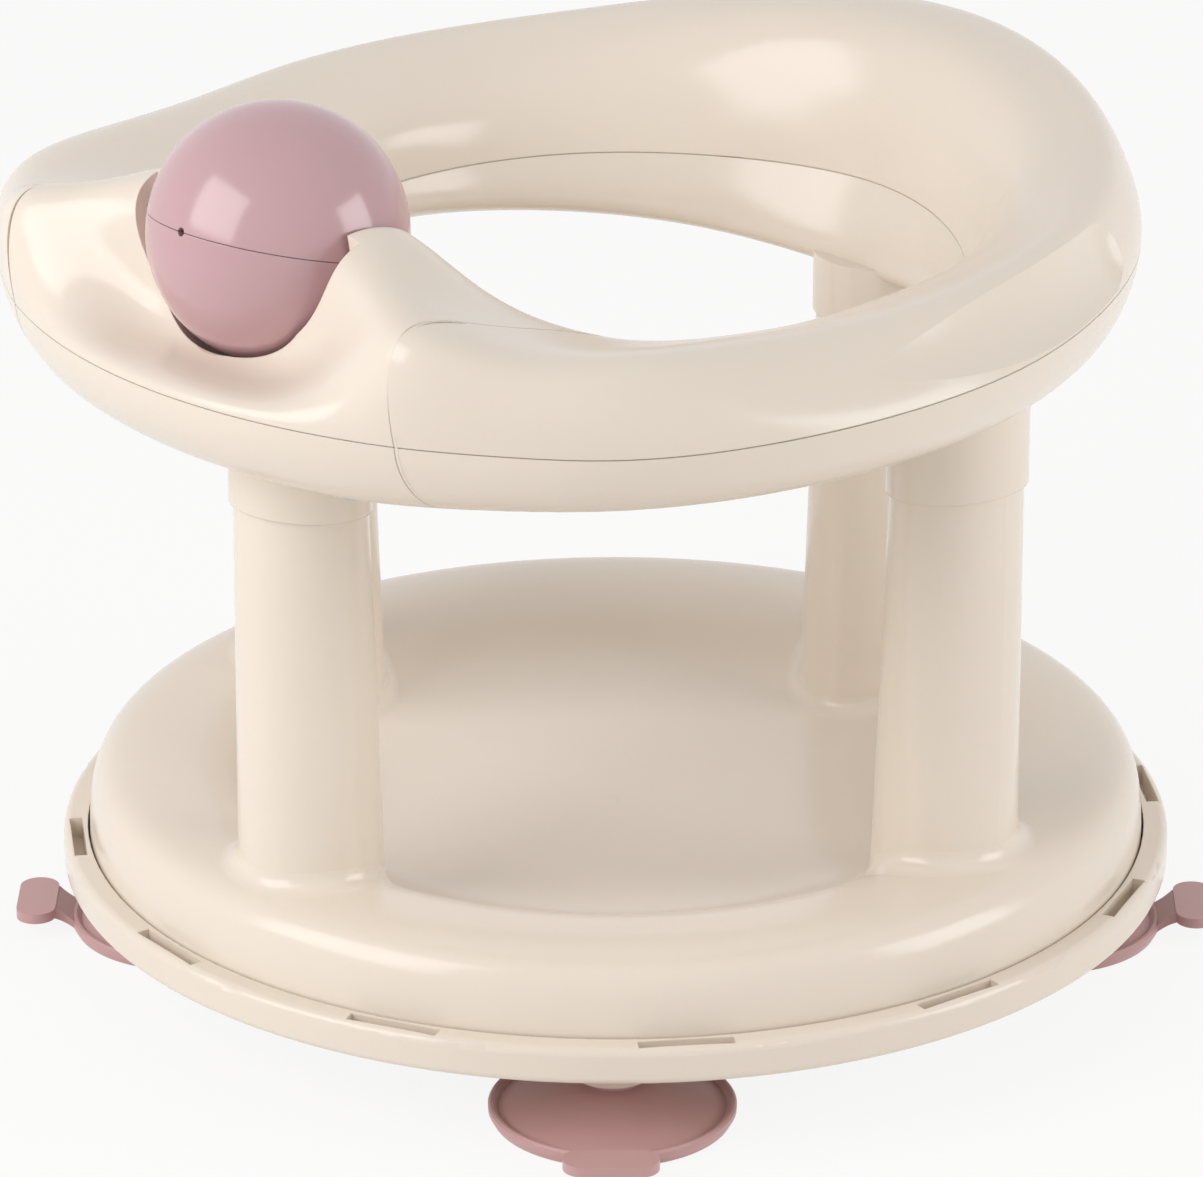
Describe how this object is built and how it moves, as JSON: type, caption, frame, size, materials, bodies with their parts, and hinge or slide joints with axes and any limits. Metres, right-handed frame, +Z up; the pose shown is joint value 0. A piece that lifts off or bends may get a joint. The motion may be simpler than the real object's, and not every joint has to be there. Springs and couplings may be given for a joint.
{
  "type": "swivel bath seat",
  "caption": "Ring-shaped baby bath seat on hollow pillars over a dished pan that swivels on a round base with suction cups; a ball rolls in its front.",
  "frame": {"origin": "on the swivel axis, at the surface that the suction cups stand on", "axes": "+Z up along the swivel axis, -Y to the front where the ball is, +X to the right seen from the front"},
  "size_m": [0.35, 0.3655, 0.3087],
  "materials": {
    "cream_plastic": "glossy",
    "pink_plastic": "glossy",
    "pink_rubber": "satin",
    "white_acetal": "smooth",
    "stainless": "brushed"
  },
  "bodies": {
    "base": {"base_plate": "cream_plastic", "glide_ring": "white_acetal", "pivot_bush": "white_acetal", "suction_cup_1": "pink_rubber", "suction_cup_2": "pink_rubber", "suction_cup_3": "pink_rubber", "suction_cup_4": "pink_rubber"},
    "seat": {"seat_pan": "cream_plastic", "pivot_washer": "stainless", "pivot_screw": "stainless", "front_lower_cover": "cream_plastic", "ring_lower_shell": "cream_plastic", "front_upper_cover": "cream_plastic", "ring_upper_shell": "cream_plastic", "ball_axle": "stainless", "pillar_screws": "stainless", "ring_screws": "stainless", "cover_screws": "stainless"},
    "ball": {"ball_upper_half": "pink_plastic", "ball_lower_half": "pink_plastic"}
  },
  "joints": [
    {"name": "seat_swivel", "type": "hinge", "parent": "base", "child": "seat", "pos_m": [0, 0, 0.03], "axis": [0, 0, 1], "continuous": true},
    {"name": "ball_spin", "type": "hinge", "parent": "seat", "child": "ball", "pos_m": [0, -0.1396, 0.2696], "axis": [1, 0, 0], "continuous": true}
  ]
}
